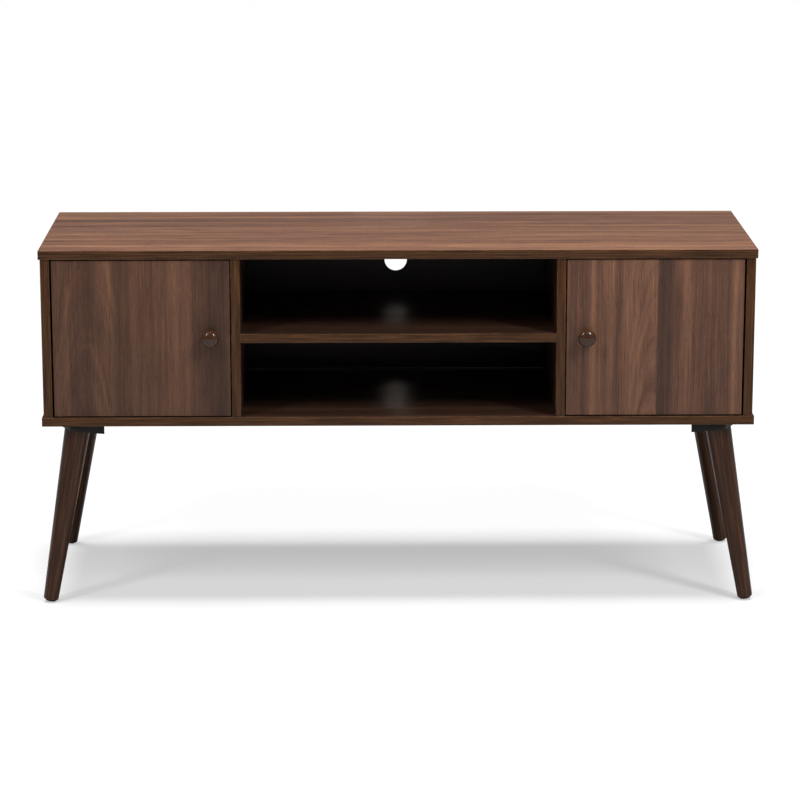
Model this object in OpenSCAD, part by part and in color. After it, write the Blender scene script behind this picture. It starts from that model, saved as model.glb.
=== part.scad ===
// TV stand with two hinged doors, an open centre bay with one shelf, and four splayed legs.
// It is flat-pack furniture: laminated boards joined by cam locks and dowels.
// The front faces -Y, +X is to the right seen from the front, and the floor is at z = 0.
// The origin is under the middle of the whole footprint, with the knobs counted in.
// Each module draws the piece on the +X side, and the piece on the -X side is its mirror image.

/* [Overall] */
// Width of the top and bottom panels
stand_w = 1200; // [1000:10:1500]
// Depth of the top and bottom panels, front to back
stand_d = 390; // [320:5:480]
// Height from the floor to the top surface
stand_h = 609; // [500:1:760]
// Height of the cabinet, from the underside of the bottom panel to the top surface
cabinet_h = 300; // [250:1:380]

/* [Boards] */
// Thickness of every board of the cabinet
board_t = 15; // [15:0.5:19]
// Thickness of the doors
door_t = 15; // [15:0.5:19]
// How far the top and bottom panels stand out past the side panels
side_lip = 3; // [0:0.5:8]
// How far the side panels and dividers sit behind the front edge of the top panel
front_lip = 2; // [0:0.5:6]
// Thickness of the back panel
back_t = 3; // [2.5:0.5:5]
// How far the back panel sits in front of the rear edge of the top panel
back_inset = 1.5; // [1.2:0.1:4]
// Gap round the edge of the back panel, inside the top and bottom panels
back_gap = 0.2; // [0.2:0.1:1]

/* [Centre bay] */
// Clear width between the two dividers
bay_w = 530; // [420:5:640]
// Clear height under the shelf
lower_bay_h = 127.5; // [105:0.5:150]
// Diameter of the cable holes in the back panel
cable_hole_d = 40; // [30:1:50]
// Height of each cable hole's centre above the shelf, and below it
cable_hole_from_shelf = 56; // [40:1:60]

/* [Doors] */
// Gap between a door and its side panel, where it turns
hinge_gap = 3.5; // [3.2:0.1:5]
// Gap along the other three edges of a door
door_gap = 2; // [1.8:0.1:4]
// How far a door's face sits behind the front edges of the boards round it
door_setback = 1; // [0:0.5:3]
// Distance from a door's outer edge to the axis it turns on
pivot_in = 10; // [8:0.5:12]
// Distance from a door's free edge to the middle of its knob
knob_in = 33; // [25:1:60]
// Height of the knobs above the inside floor of the cabinet
knob_rise = 137; // [80:1:180]
// Largest diameter of a knob
knob_d = 30; // [24:0.5:36]
// Length of a knob, from the door's face to its front
knob_len = 25; // [20:0.5:32]
// Diameter of a knob's foot on the door
knob_foot_d = 17; // [14:0.5:20]
// Diameter of a knob's neck
knob_neck_d = 12.5; // [10:0.5:13.5]

/* [Door pivots] */
// Diameter of the steel pins that the doors turn on
pin_d = 6; // [5:0.5:7]
// Length of a pin inside the door
pin_in_door = 16; // [12:1:24]
// Length of a pin inside its bush
pin_in_bush = 7; // [5:0.5:8]
// Outer diameter of a bush
bush_d = 10; // [9:0.5:12]
// Depth of a bush in its panel
bush_len = 9; // [8.5:0.5:10]
// Diameter of a bush's flange
bush_flange_d = 15; // [13:0.5:18]
// Thickness of a bush's flange
bush_flange_t = 1.5; // [1:0.1:1.6]
// Radial clearance of a pin in its bush
pin_play = 0.05; // [0.03:0.01:0.1]

/* [Magnetic catches] */
// Length of a catch along the door
catch_w = 46; // [42:1:56]
// Depth of a catch, front to back
catch_d = 15; // [14:0.5:18]
// Height of a catch
catch_h = 13; // [12:0.5:15]
// Distance from a door's free edge to the middle of its catch
catch_in = 34; // [30:1:60]
// Distance between the two screws of a catch
catch_screw_spacing = 34; // [33:0.5:36]
// Length of the magnet along the door
magnet_w = 22; // [18:0.5:22]
// Thickness of the magnet between its pole plates
magnet_t = 4.6; // [4:0.1:5]
// Thickness of each pole plate
pole_t = 1.2; // [1:0.1:1.4]
// Thickness of the steel strike plate on a door
strike_t = 1.5; // [1.2:0.1:2]
// Length of a strike plate
strike_w = 38; // [30:1:44]
// Height of a strike plate
strike_h = 10; // [9:0.5:10.5]
// Air left between a pole plate and the closed door's strike plate
catch_air = 0.1; // [0.05:0.05:0.5]

/* [Legs] */
// Diameter of a leg at its top
leg_top_d = 43; // [36:0.5:44]
// Diameter of a leg at its foot
leg_foot_d = 25.5; // [22:0.5:32]
// Rounding of the edge of a leg's foot
leg_foot_round = 4; // [1:0.5:5]
// Rounding of the edge of a leg's top
leg_top_round = 1; // [0.5:0.5:2]
// Angle of a leg from upright
leg_splay = 10.8; // [4:0.1:14]
// How far a leg's splay turns from straight sideways towards the front or back
leg_turn = 27; // [0:1:45]
// Distance from the end of the top panel in to the middle of a foot
foot_in_x = 10; // [5:1:80]
// Distance from the front or rear edge of the top panel in to the middle of a foot
foot_in_y = 12; // [8:1:60]
// Diameter of a foot's glide
glide_d = 17; // [12:0.5:17]
// Radius of the dome under a glide
glide_dome_r = 25; // [20:1:32]
// Thickness of a glide's rim
glide_rim_t = 1.5; // [1:0.1:3]
// Diameter of a glide's nail
glide_nail_d = 3; // [2:0.1:4]
// Length of a glide's nail in the leg
glide_nail_len = 16; // [10:1:24]

/* [Leg brackets] */
// Length of a bracket from the leg's axis towards the corner of the stand
bracket_out = 22; // [22:1:30]
// Length of a bracket from the leg's axis towards the middle of the stand
bracket_in = 40; // [38:1:60]
// Width of a bracket across the splay
bracket_w = 52; // [51:1:64]
// Depth of a bracket under the panel at the leg's axis
bracket_drop = 13; // [13:0.5:20]
// Rounding of a bracket's upright corners
bracket_round = 4; // [1:0.5:4]
// Depth of a bracket's screw seats under the panel
bracket_seat = 5; // [3:0.5:5]
// Distance from the leg's axis to the inner pair of screws
inner_screw_x = 32; // [30:0.5:34]
// Distance from the leg's axis to the outer pair of screws
outer_screw_x = 14.5; // [13:0.5:15]
// Distance between the two inner screws
inner_screw_spacing = 36; // [24:1:40]
// Distance between the two outer screws
outer_screw_spacing = 42; // [41.5:0.5:42]

/* [Fasteners] */
// Diameter of the cam locks
cam_d = 15; // [12:0.5:16]
// Board left behind a cam lock
cam_web = 2.5; // [2:0.5:4]
// Distance from a board's end to the middle of a cam lock
cam_from_end = 34; // [24:1:38]
// Distance from a board's front and rear edges to its cam locks
cam_from_edge = 55; // [40:1:80]
// Diameter of the hole that a cam bolt lies in
cam_bolt_hole_d = 8; // [7.5:0.5:9]
// Diameter of a cam bolt's shank and thread
cam_bolt_d = 6; // [5:0.5:6.5]
// Length of a cam bolt's thread in its panel
cam_thread_len = 10; // [8:0.5:11]
// Diameter of the wooden dowels
dowel_d = 8; // [6:0.5:10]
// Length of a dowel in the board's end
dowel_in_end = 20; // [14:1:26]
// Length of a dowel in the panel's face
dowel_in_face = 10; // [8:0.5:11]
// Distance from a board's front and rear edges to its dowels
dowel_from_edge = 95; // [85:1:130]
// Diameter of the shelf screws' shank in the divider
shelf_screw_d = 7; // [6:0.5:7.5]
// Diameter of the shelf screws' thread in the shelf
shelf_thread_d = 5; // [4:0.5:5.5]
// Diameter of the shelf screws' heads
shelf_head_d = 10; // [9:0.5:11]
// Height of the shelf screws' heads
shelf_head_h = 3; // [2:0.5:4]
// Length of the shelf screws' thread in the shelf
shelf_thread_len = 35; // [25:1:45]
// Diameter of the nails in the back panel
nail_d = 1.6; // [1.2:0.1:2]
// Length of the nails in the boards
nail_in_board = 16; // [12:1:22]
// Diameter of the nails' heads
nail_head_d = 4; // [3:0.5:6]
// Thickness of the nails' heads
nail_head_t = 1; // [0.6:0.1:1.1]
// Number of nails in each upright board
nails_per_board = 4; // [3:1:6]
// Diameter of the wood screws that hold the brackets
bracket_screw_d = 4; // [3.5:0.1:4.5]
// Length of the bracket screws in the panel
bracket_screw_in = 11; // [8:0.5:12]
// Diameter of the bracket screws' heads
bracket_head_d = 8; // [7:0.5:8.5]
// Height of the bracket screws' heads
bracket_head_h = 2.6; // [2:0.1:3]
// Diameter of the small screws that hold the catches and strike plates
small_screw_d = 3; // [2.5:0.1:3.3]
// Length of the small screws in the wood
small_screw_in = 10; // [8:0.5:11]
// Diameter of the small screws' heads
small_head_d = 6; // [5:0.1:6.4]
// Height of a catch screw's head
small_head_h = 2; // [1.5:0.1:2.5]
// Diameter of the machine screws in the knobs
knob_screw_d = 4; // [3:0.5:5]
// Length of the machine screws in the knobs
knob_screw_in = 12; // [8:0.5:15]
// Diameter of the knob screws' heads
knob_head_d = 8; // [7:0.5:10]
// Height of the knob screws' heads
knob_head_h = 2.5; // [2:0.1:3]
// Diameter of the bolts that hold the legs
leg_bolt_d = 8; // [6:0.5:9]
// Length of a leg bolt in the leg
leg_bolt_in = 32; // [24:1:40]
// Outer diameter of the threaded inserts in the brackets
insert_d = 12; // [11:0.5:13]
// Length of the threaded inserts
insert_len = 9; // [7:0.5:9.5]

/* [Hidden] */
$fn = 64;

wood = "#6b4a35";
door_wood = "#7a563d";
lacquer = "#3a2016";
hardboard = "#4a3529";
bare_wood = "#c9a878";
steel = "#a9abad";
dark_steel = "#3c3a38";
dark_plastic = "#2a2826";

// How far a cut runs past the face that it opens
over = 1;
// Radial clearance of a piece that is fixed in its hole
snug = 0.05;

// Heights: the underside of the cabinet, its inside floor and ceiling, and the shelf's underside
under_z = stand_h - cabinet_h;
floor_z = under_z + board_t;
ceiling_z = stand_h - board_t;
inner_h = ceiling_z - floor_z;
shelf_z = floor_z + lower_bay_h;
knob_z = floor_z + knob_rise;

// Depths: panel edges, upright boards, doors and back panel
knob_reach = knob_len - front_lip - door_setback;
front_y = (knob_reach - stand_d) / 2;
rear_y = front_y + stand_d;
middle_y = front_y + stand_d / 2;
board_y = front_y + front_lip;
board_rear_y = rear_y - back_inset - back_t;
board_d = board_rear_y - board_y;
door_y = board_y + door_setback;
door_rear_y = door_y + door_t;
nail_ys = board_rear_y + back_t;

// Widths on the +X side: the inner faces of the divider and the side panel, and the door's edges
divider_x = bay_w / 2;
divider_outer_x = divider_x + board_t;
side_x = stand_w / 2 - side_lip - board_t;
door_free_x = divider_outer_x + door_gap;
door_hinge_x = side_x - hinge_gap;
upright_xs = [divider_x + board_t / 2, side_x + board_t / 2];

// The door turns on this upright line
pivot_x = door_hinge_x - pivot_in;
pivot_y = door_y + door_t / 2;
door_z = floor_z + door_gap;
door_h = inner_h - 2 * door_gap;

// Catch: a pair of pole plates with the magnet between them, in a slot of the case
catch_x = door_free_x + catch_in;
strike_y = door_rear_y + strike_t;
pole_y = strike_y + catch_air;
pole_lead = 1;
case_y = pole_y + pole_lead;
slot_wall = 2.5;
slot_d = catch_d - slot_wall;
slot_play = 0.1;
catch_mid_z = ceiling_z - catch_h / 2;
strike_z = ceiling_z - door_gap - strike_h - 0.5;
strike_slope = 1.2;
catch_web = 4;

// Joints between the upright boards and the panels
cam_ys = [board_y + cam_from_edge, board_rear_y - cam_from_edge];
dowel_ys = [board_y + dowel_from_edge, board_rear_y - dowel_from_edge];
cam_h = board_t - cam_web;
cam_bolt_end = 3;
cam_recess = 2;
cam_slot_w = 2;
shelf_mid_z = shelf_z + board_t / 2;

// Legs: the axis runs through the centre of the glide's dome, which rests on the floor
foot = [stand_w / 2 - foot_in_x, stand_d / 2 - foot_in_y, glide_dome_r];
seat_z = under_z - bracket_drop;
leg_rise = (seat_z - glide_dome_r) / cos(leg_splay);
leg_shift = (seat_z - glide_dome_r) * tan(leg_splay);
leg_top = [foot.x - leg_shift * cos(leg_turn), foot.y - leg_shift * sin(leg_turn)];
glide_base = -sqrt(pow(glide_dome_r, 2) - pow(glide_d / 2, 2));
leg_base = glide_base + glide_rim_t;
insert_base = 1;
bracket_depth = bracket_drop + bracket_in * tan(leg_splay) + over;
bracket_screw_spots = [
  [inner_screw_x, inner_screw_spacing / 2], [inner_screw_x, -inner_screw_spacing / 2],
  [-outer_screw_x, outer_screw_spacing / 2], [-outer_screw_x, -outer_screw_spacing / 2]
];
leg_corners = [[1, -1], [-1, -1], [1, 1], [-1, 1]];

// Box between two opposite corners
module block(low, high) {
  translate(low) cube(high - low);
}

// Box standing on z = 0 with rounded upright edges
module rounded_block(low, high, round_r, h) {
  inner = [low + [round_r, round_r], high - [round_r, round_r]];
  union() {
    translate([low.x, inner[0].y, 0]) cube([high.x - low.x, inner[1].y - inner[0].y, h]);
    translate([inner[0].x, low.y, 0]) cube([inner[1].x - inner[0].x, high.y - low.y, h]);
    for (x = [inner[0].x, inner[1].x], y = [inner[0].y, inner[1].y])
      translate([x, y, 0]) cylinder(r = round_r, h = h);
  }
}

// Draws the children on one side: s is 1 for +X and -1 for -X
module on_side(s) {
  mirror([s < 0 ? 1 : 0, 0, 0]) children();
}

module both_sides() {
  on_side(1) children();
  on_side(-1) children();
}

// Draws the children at the upright boards' ends, with z = 0 where board and panel meet.
// The board lies towards +z and the panel towards -z. +x points to the face with the cam locks.
module at_board_ends(ys, ends = [0, 1]) {
  both_sides()
    for (i = [0, 1], y = ys, end = ends)
      translate([upright_xs[i], y, end == 1 ? ceiling_z : floor_z])
        mirror([0, 0, end]) rotate([0, 0, 180 * i]) children();
}

// Draws the children at the shelf's ends, with z = 0 where shelf and divider meet.
// The shelf lies towards -z and the divider towards +z.
module at_shelf_ends(ys) {
  both_sides()
    for (y = ys)
      translate([divider_x, y, shelf_mid_z]) rotate([0, 90, 0]) children();
}

module cam_cut() {
  translate([board_t / 2 - cam_h, 0, cam_from_end]) rotate([0, 90, 0])
    cylinder(r = cam_d / 2 + snug, h = cam_h + over);
}

module cam_bolt_cut() {
  translate([0, 0, -over]) cylinder(d = cam_bolt_hole_d, h = cam_from_end + over);
}

module cam_thread_cut() {
  translate([0, 0, -cam_thread_len]) cylinder(r = cam_bolt_d / 2 + snug, h = cam_thread_len + over);
}

module dowel_cut() {
  translate([0, 0, -dowel_in_face]) cylinder(r = dowel_d / 2 + snug, h = dowel_in_face + dowel_in_end);
}

// Draws the children at each nail, with +z pointing out of the back of the stand
module at_nails(xs) {
  both_sides()
    for (x = xs, i = [0 : nails_per_board - 1])
      translate([x, nail_ys, floor_z + inner_h * (i + 0.5) / nails_per_board])
        rotate([-90, 0, 0]) children();
}

module nail_cut() {
  translate([0, 0, -back_t - nail_in_board])
    cylinder(r = nail_d / 2 + snug, h = back_t + nail_in_board + over);
}

// Draws the children at the door's two pivots, with z = 0 on the panel and +z into the opening
module at_pivots() {
  for (end = [0, 1])
    translate([pivot_x, pivot_y, end == 1 ? ceiling_z : floor_z]) mirror([0, 0, end]) children();
}

module bush_cut() {
  translate([0, 0, -bush_len]) cylinder(r = bush_d / 2 + snug, h = bush_len + over);
}

// Draws the children at a catch's two screws, with z = 0 on the ceiling and +z down
module at_catch_screws() {
  for (i = [-1, 1])
    translate([catch_x + i * catch_screw_spacing / 2, case_y + catch_d / 2, ceiling_z])
      mirror([0, 0, 1]) children();
}

// Draws the children in one corner: side is 1 for +X, and depth is 1 for the back
module in_corner(side, depth) {
  translate([0, middle_y, 0]) mirror([side < 0 ? 1 : 0, 0, 0]) mirror([0, depth < 0 ? 1 : 0, 0])
    children();
}

// Frame under the bottom panel over the top of a leg: +x points to the middle of the stand
module at_bracket() {
  translate([leg_top.x, leg_top.y, under_z]) rotate([0, 0, 180 + leg_turn]) children();
}

// Frame on a leg's axis, with z = 0 at the centre of the glide's dome
module along_leg() {
  translate(foot) rotate([0, 0, 180 + leg_turn]) rotate([0, leg_splay, 0]) children();
}

module panel_cuts(end) {
  at_board_ends(cam_ys, [end]) cam_thread_cut();
  at_board_ends(dowel_ys, [end]) dowel_cut();
  both_sides() at_pivots() bush_cut();
}

module top_panel() {
  color(wood) difference() {
    block([-stand_w / 2, front_y, ceiling_z], [stand_w / 2, rear_y, stand_h]);
    panel_cuts(1);
    both_sides() at_catch_screws()
      translate([0, 0, -small_screw_in]) cylinder(r = small_screw_d / 2 + snug, h = small_screw_in + over);
  }
}

module bottom_panel() {
  color(wood) difference() {
    block([-stand_w / 2, front_y, under_z], [stand_w / 2, rear_y, floor_z]);
    panel_cuts(0);
    for (c = leg_corners, spot = bracket_screw_spots)
      in_corner(c.x, c.y) at_bracket() translate([spot.x, spot.y, -over])
        cylinder(r = bracket_screw_d / 2 + snug, h = bracket_screw_in + over);
  }
}

module upright_cuts() {
  at_board_ends(cam_ys) cam_cut();
  at_board_ends(cam_ys) cam_bolt_cut();
  at_board_ends(dowel_ys) dowel_cut();
}

module side_panel(s) {
  color(wood) difference() {
    on_side(s) block([side_x, board_y, floor_z], [side_x + board_t, board_rear_y, ceiling_z]);
    upright_cuts();
    at_nails([upright_xs[1]]) nail_cut();
  }
}

module divider(s) {
  color(wood) difference() {
    on_side(s) block([divider_x, board_y, floor_z], [divider_outer_x, board_rear_y, ceiling_z]);
    upright_cuts();
    at_nails([upright_xs[0]]) nail_cut();
    at_shelf_ends(dowel_ys) mirror([0, 0, 1]) dowel_cut();
    at_shelf_ends(cam_ys) {
      translate([0, 0, -over]) cylinder(r = shelf_screw_d / 2 + snug, h = board_t + 2 * over);
      translate([0, 0, board_t - shelf_head_h]) cylinder(r = shelf_head_d / 2 + snug, h = shelf_head_h + over);
    }
  }
}

module center_shelf() {
  color(wood) difference() {
    block([-divider_x, board_y, shelf_z], [divider_x, board_rear_y, shelf_z + board_t]);
    at_shelf_ends(dowel_ys) mirror([0, 0, 1]) dowel_cut();
    at_shelf_ends(cam_ys) translate([0, 0, -shelf_thread_len])
      cylinder(r = shelf_thread_d / 2 + snug, h = shelf_thread_len + over);
  }
}

module back_panel() {
  half_w = side_x + board_t - back_gap;
  color(hardboard) difference() {
    block([-half_w, board_rear_y, floor_z + back_gap], [half_w, board_rear_y + back_t, ceiling_z - back_gap]);
    for (z = [shelf_z - cable_hole_from_shelf, shelf_z + board_t + cable_hole_from_shelf])
      translate([0, board_rear_y - over, z]) rotate([-90, 0, 0])
        cylinder(d = cable_hole_d, h = back_t + 2 * over);
    at_nails(upright_xs) nail_cut();
  }
}

module back_nails() {
  color(steel) at_nails(upright_xs) {
    translate([0, 0, -back_t - nail_in_board]) cylinder(d = nail_d, h = back_t + nail_in_board);
    cylinder(d = nail_head_d, h = nail_head_t);
  }
}

module cam_locks() {
  color(steel) at_board_ends(cam_ys) difference() {
    translate([board_t / 2 - cam_h, 0, cam_from_end]) rotate([0, 90, 0]) cylinder(d = cam_d, h = cam_h);
    cylinder(d = cam_bolt_hole_d, h = cam_from_end + cam_bolt_end);
    translate([board_t / 2 - cam_recess, 0, cam_from_end]) {
      translate([0, -cam_d / 3, -cam_slot_w / 2]) cube([cam_recess + over, cam_d * 2 / 3, cam_slot_w]);
      translate([0, -cam_slot_w / 2, -cam_d / 3]) cube([cam_recess + over, cam_slot_w, cam_d * 2 / 3]);
    }
  }
}

module cam_bolts() {
  color(steel) at_board_ends(cam_ys) {
    translate([0, 0, -cam_thread_len]) cylinder(d = cam_bolt_d, h = cam_thread_len + cam_from_end);
    translate([0, 0, cam_from_end - cam_bolt_end]) cylinder(d = cam_bolt_hole_d - 1, h = 2 * cam_bolt_end - 0.5);
  }
}

module dowel() {
  translate([0, 0, -dowel_in_face]) cylinder(d = dowel_d, h = dowel_in_face + dowel_in_end);
}

module wood_dowels() {
  color(bare_wood) {
    at_board_ends(dowel_ys) dowel();
    at_shelf_ends(dowel_ys) mirror([0, 0, 1]) dowel();
  }
}

module shelf_screws() {
  color(steel) at_shelf_ends(cam_ys) difference() {
    union() {
      translate([0, 0, -shelf_thread_len]) cylinder(d = shelf_thread_d, h = shelf_thread_len + over);
      cylinder(d = shelf_screw_d, h = board_t);
      translate([0, 0, board_t - shelf_head_h]) cylinder(d = shelf_head_d, h = shelf_head_h);
    }
    translate([0, 0, board_t - shelf_head_h]) cylinder(d = shelf_thread_d - 1, h = shelf_head_h + over, $fn = 6);
  }
}

module door(s) {
  color(door_wood) on_side(s) difference() {
    block([door_free_x, door_y, door_z], [door_hinge_x, door_rear_y, door_z + door_h]);
    at_pivots() translate([0, 0, door_gap - over])
      cylinder(r = pin_d / 2 + snug, h = pin_in_door + over);
    translate([door_free_x + knob_in, door_rear_y + over, knob_z]) rotate([90, 0, 0])
      cylinder(r = knob_screw_d / 2 + snug, h = door_t + 2 * over);
    translate([catch_x, door_rear_y + over, strike_z + strike_h / 2]) rotate([90, 0, 0])
      cylinder(r = small_screw_d / 2 + snug, h = small_screw_in + over);
  }
}

// Outline of a knob from its foot at z = 0 to its front, as [radius, z] points
neck_z = knob_len * 0.22;
belly_z = knob_len * 0.62;
knob_outline = concat(
  [[0, 0], [knob_foot_d / 2, 0]],
  [for (a = [0 : 15 : 90])
    [knob_neck_d / 2 + (knob_foot_d - knob_neck_d) / 2 * (1 - sin(a)), neck_z * (1 - cos(a)) + 0.8]],
  [for (a = [-75 : 15 : 0])
    [knob_neck_d / 2 + (knob_d - knob_neck_d) / 2 * cos(a), belly_z + (belly_z - neck_z - 0.8) * sin(a)]],
  [for (a = [15 : 15 : 75]) [knob_d / 2 * cos(a), belly_z + (knob_len - belly_z) * sin(a)]],
  [[0, knob_len]]
);

module knob(s) {
  color(lacquer) on_side(s) translate([door_free_x + knob_in, door_y, knob_z]) rotate([90, 0, 0])
    difference() {
      rotate_extrude() polygon(knob_outline);
      translate([0, 0, -over]) cylinder(r = knob_screw_d / 2 + snug, h = knob_screw_in + over);
    }
}

module knob_screw(s) {
  color(steel) on_side(s) translate([door_free_x + knob_in, door_rear_y, knob_z]) rotate([90, 0, 0])
    difference() {
      union() {
        translate([0, 0, -knob_head_h]) cylinder(d = knob_head_d, h = knob_head_h);
        cylinder(d = knob_screw_d, h = door_t + knob_screw_in);
      }
      for (turn = [0, 90])
        translate([0, 0, -knob_head_h]) rotate([0, 0, turn]) cube([knob_head_d * 0.6, 1, 2], center = true);
    }
}

module pivot_pins(s) {
  color(steel) on_side(s) at_pivots()
    translate([0, 0, -pin_in_bush]) cylinder(d = pin_d, h = pin_in_bush + door_gap + pin_in_door);
}

module pivot_bushes(s) {
  color(dark_plastic) on_side(s) at_pivots() difference() {
    union() {
      translate([0, 0, -bush_len]) cylinder(d = bush_d, h = bush_len);
      cylinder(d = bush_flange_d, h = bush_flange_t);
    }
    translate([0, 0, -pin_in_bush - 0.5])
      cylinder(r = pin_d / 2 + pin_play, h = pin_in_bush + 0.5 + bush_flange_t + over);
  }
}

slot_h = magnet_t + 2 * pole_t + 2 * slot_play;

module catch_case(s) {
  color(dark_plastic) on_side(s) difference() {
    block([catch_x - catch_w / 2, case_y, ceiling_z - catch_h], [catch_x + catch_w / 2, case_y + catch_d, ceiling_z]);
    translate([catch_x - magnet_w / 2 - slot_play, case_y - over, catch_mid_z - slot_h / 2])
      cube([magnet_w + 2 * slot_play, slot_d + over, slot_h]);
    at_catch_screws() {
      translate([0, 0, -over]) cylinder(r = small_screw_d / 2 + snug, h = catch_h + 2 * over);
      translate([0, 0, catch_web]) cylinder(r = small_head_d / 2 + snug, h = catch_h);
    }
  }
}

module catch_magnet(s) {
  color(dark_steel) on_side(s) translate([catch_x - magnet_w / 2, case_y, catch_mid_z - magnet_t / 2])
    cube([magnet_w, slot_d - slot_play, magnet_t]);
}

module pole_plates(s) {
  color(steel) on_side(s)
    for (z = [catch_mid_z - magnet_t / 2 - pole_t, catch_mid_z + magnet_t / 2])
      translate([catch_x - magnet_w / 2, pole_y, z]) cube([magnet_w, pole_lead + slot_d - slot_play, pole_t]);
}

module catch_screws() {
  color(steel) both_sides() at_catch_screws() difference() {
    union() {
      translate([0, 0, -small_screw_in]) cylinder(d = small_screw_d, h = small_screw_in + catch_web + over);
      translate([0, 0, catch_web]) cylinder(d = small_head_d, h = small_head_h);
    }
    for (turn = [0, 90])
      translate([0, 0, catch_web + small_head_h]) rotate([0, 0, turn]) cube([small_head_d * 0.6, 0.8, 2], center = true);
  }
}

// The strike plate's screw head is sunk in a cone, flush with the plate
module strike_cone(play) {
  cylinder(r1 = small_screw_d / 2 + play, r2 = small_screw_d / 2 + strike_slope + play, h = strike_t);
}

module strike_plate(s) {
  color(steel) on_side(s) difference() {
    translate([catch_x - strike_w / 2, door_rear_y, strike_z]) cube([strike_w, strike_t, strike_h]);
    translate([catch_x, door_rear_y, strike_z + strike_h / 2]) rotate([-90, 0, 0]) {
      translate([0, 0, -over]) cylinder(r = small_screw_d / 2 + snug, h = strike_t + 2 * over);
      strike_cone(snug);
    }
  }
}

module strike_screw(s) {
  color(steel) on_side(s) translate([catch_x, door_rear_y, strike_z + strike_h / 2]) rotate([-90, 0, 0])
    difference() {
      union() {
        translate([0, 0, -small_screw_in]) cylinder(d = small_screw_d, h = small_screw_in);
        strike_cone(0);
      }
      for (turn = [0, 90])
        translate([0, 0, strike_t]) rotate([0, 0, turn]) cube([small_screw_d, 0.7, 1.2], center = true);
    }
}

// Outline of a leg on its axis, as [radius, z] points, with both end edges rounded
leg_outline = concat(
  [[0, leg_base]],
  [for (a = [-90 : 15 : 0])
    [leg_foot_d / 2 - leg_foot_round * (1 - cos(a)), leg_base + leg_foot_round * (1 + sin(a))]],
  [for (a = [0 : 30 : 90])
    [leg_top_d / 2 - leg_top_round * (1 - cos(a)), leg_rise - leg_top_round * (1 - sin(a))]],
  [[0, leg_rise]]
);

module leg(side, depth) {
  color(lacquer) in_corner(side, depth) along_leg() difference() {
    rotate_extrude() polygon(leg_outline);
    translate([0, 0, leg_rise - leg_bolt_in]) cylinder(r = leg_bolt_d / 2 + snug, h = leg_bolt_in + over);
    translate([0, 0, leg_base - over]) cylinder(r = glide_nail_d / 2 + snug, h = glide_nail_len + over);
  }
}

module glide(side, depth) {
  color(dark_plastic) in_corner(side, depth) along_leg() union() {
    intersection() {
      sphere(r = glide_dome_r);
      translate([0, 0, -glide_dome_r - over]) cylinder(d = glide_d, h = glide_dome_r + over + leg_base);
    }
    translate([0, 0, glide_base]) cylinder(d = glide_nail_d, h = glide_rim_t + glide_nail_len);
  }
}

module bracket(side, depth) {
  span = 4 * (bracket_in + bracket_out);
  color(dark_plastic) in_corner(side, depth) at_bracket() difference() {
    translate([0, 0, -bracket_depth])
      rounded_block([-bracket_out, -bracket_w / 2], [bracket_in, bracket_w / 2], bracket_round, bracket_depth);
    translate([0, 0, -bracket_drop]) rotate([0, leg_splay, 0]) {
      translate([-span / 2, -span / 2, -span]) cube(span);
      translate([0, 0, -over]) cylinder(r = insert_d / 2 + snug, h = insert_base + insert_len + over);
    }
    for (spot = bracket_screw_spots) {
      translate([spot.x, spot.y, -bracket_depth]) cylinder(r = bracket_screw_d / 2 + snug, h = bracket_depth + over);
      translate([spot.x, spot.y, -bracket_depth - over])
        cylinder(r = bracket_head_d / 2 + snug, h = bracket_depth + over - bracket_seat);
    }
  }
}

module threaded_inserts() {
  color(steel) for (c = leg_corners)
    in_corner(c.x, c.y) along_leg() translate([0, 0, leg_rise + insert_base]) difference() {
      cylinder(d = insert_d, h = insert_len);
      translate([0, 0, -over]) cylinder(r = leg_bolt_d / 2 + snug, h = insert_len + 2 * over);
    }
}

module leg_bolts() {
  color(steel) for (c = leg_corners)
    in_corner(c.x, c.y) along_leg() translate([0, 0, leg_rise - leg_bolt_in])
      cylinder(d = leg_bolt_d, h = leg_bolt_in + insert_base + insert_len);
}

module bracket_screws() {
  color(steel) for (c = leg_corners, spot = bracket_screw_spots)
    in_corner(c.x, c.y) at_bracket() translate([spot.x, spot.y, 0]) difference() {
      union() {
        translate([0, 0, -bracket_seat]) cylinder(d = bracket_screw_d, h = bracket_seat + bracket_screw_in);
        translate([0, 0, -bracket_seat - bracket_head_h]) cylinder(d = bracket_head_d, h = bracket_head_h);
      }
      for (turn = [0, 90])
        translate([0, 0, -bracket_seat - bracket_head_h]) rotate([0, 0, turn])
          cube([bracket_head_d * 0.6, 1, 2], center = true);
    }
}

top_panel();
bottom_panel();
side_panel(-1);  // left_side_panel
side_panel(1);  // right_side_panel
divider(-1);  // left_divider
divider(1);  // right_divider
center_shelf();
back_panel();
back_nails();
cam_locks();
cam_bolts();
wood_dowels();
shelf_screws();
door(-1);  // left_door
door(1);  // right_door
knob(-1);  // left_knob
knob(1);  // right_knob
knob_screw(-1);  // left_knob_screw
knob_screw(1);  // right_knob_screw
pivot_pins(-1);  // left_pivot_pins
pivot_pins(1);  // right_pivot_pins
pivot_bushes(-1);  // left_pivot_bushes
pivot_bushes(1);  // right_pivot_bushes
catch_case(-1);  // left_catch_case
catch_case(1);  // right_catch_case
catch_magnet(-1);  // left_catch_magnet
catch_magnet(1);  // right_catch_magnet
pole_plates(-1);  // left_pole_plates
pole_plates(1);  // right_pole_plates
catch_screws();
strike_plate(-1);  // left_strike_plate
strike_plate(1);  // right_strike_plate
strike_screw(-1);  // left_strike_screw
strike_screw(1);  // right_strike_screw
leg(-1, -1);  // front_left_leg
leg(1, -1);  // front_right_leg
leg(-1, 1);  // back_left_leg
leg(1, 1);  // back_right_leg
bracket(-1, -1);  // front_left_bracket
bracket(1, -1);  // front_right_bracket
bracket(-1, 1);  // back_left_bracket
bracket(1, 1);  // back_right_bracket
threaded_inserts();
leg_bolts();
bracket_screws();
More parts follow.
